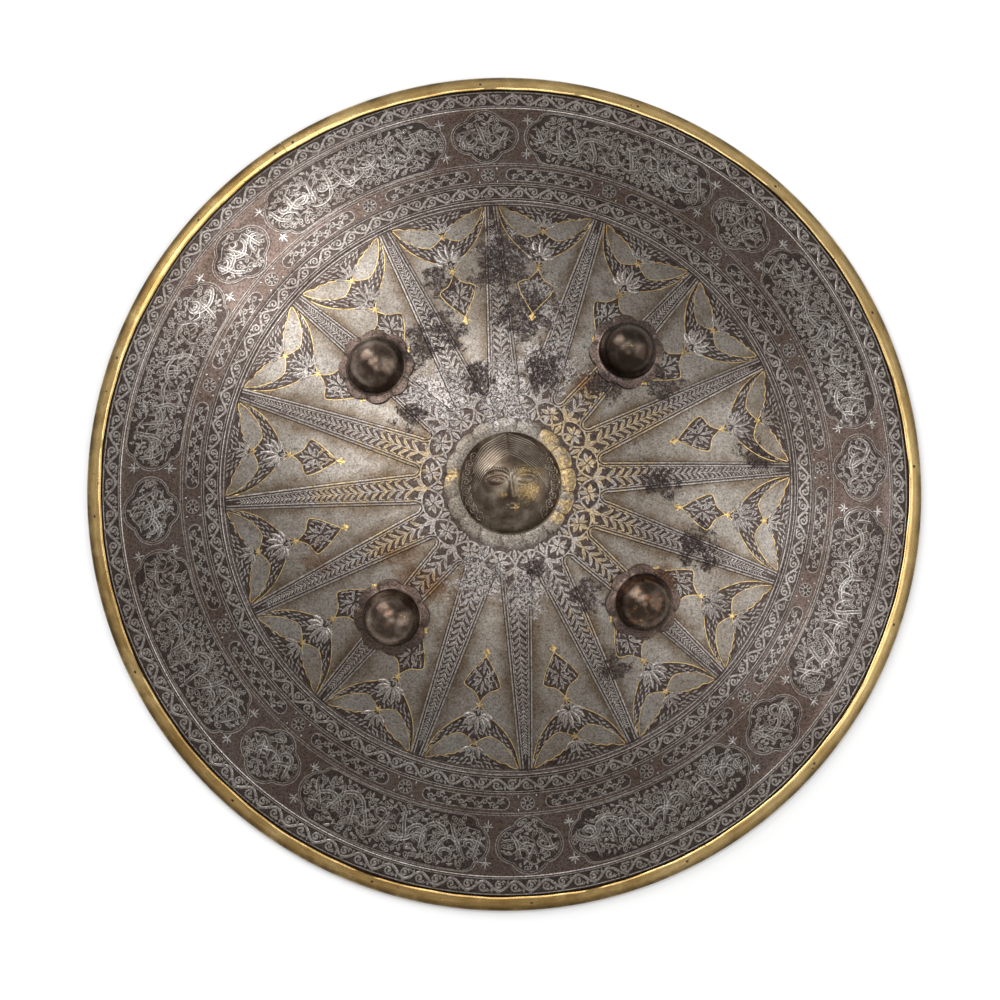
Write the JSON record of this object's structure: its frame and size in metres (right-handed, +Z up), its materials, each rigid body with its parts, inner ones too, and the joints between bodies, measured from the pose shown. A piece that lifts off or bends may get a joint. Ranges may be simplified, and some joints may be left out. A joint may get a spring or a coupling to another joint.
{
  "type": "round shield",
  "caption": "Round domed steel shield with a chiselled star of rays, ornamented borders, a folded brass rim, petalled bosses and a central boss with a sun face.",
  "frame": {"origin": "on the floor under the centre of the bowl, with the shield lying on its rim", "axes": "+Z up through the centre of the dome, +Y to the top of the face on the central boss"},
  "size_m": [0.46, 0.46, 0.0951],
  "materials": {
    "steel": "forged and chiselled, worn bright on the panels and dark in the ground",
    "brass": "hammered and worn, dark along the outer edge",
    "dark_iron": "smooth, browned, with traces of gilding and rust",
    "gilding": "thin gold wire and gilding, worn"
  },
  "bodies": {
    "root": {"shield_bowl": "steel", "rim_band": "brass", "face_boss": "dark_iron", "boss_upper_right": "dark_iron", "boss_lower_right": "dark_iron", "boss_lower_left": "dark_iron", "boss_upper_left": "dark_iron", "rim_pin_01": "dark_iron", "rim_pin_02": "dark_iron", "rim_pin_03": "dark_iron", "rim_pin_04": "dark_iron", "rim_pin_05": "dark_iron", "rim_pin_06": "dark_iron", "rim_pin_07": "dark_iron", "rim_pin_08": "dark_iron", "rim_pin_09": "dark_iron", "rim_pin_10": "dark_iron", "rim_pin_11": "dark_iron", "rim_pin_12": "dark_iron", "rim_pin_13": "dark_iron", "rim_pin_14": "dark_iron", "rim_pin_15": "dark_iron", "rim_pin_16": "dark_iron", "rim_pin_17": "dark_iron"}
  },
  "joints": []
}
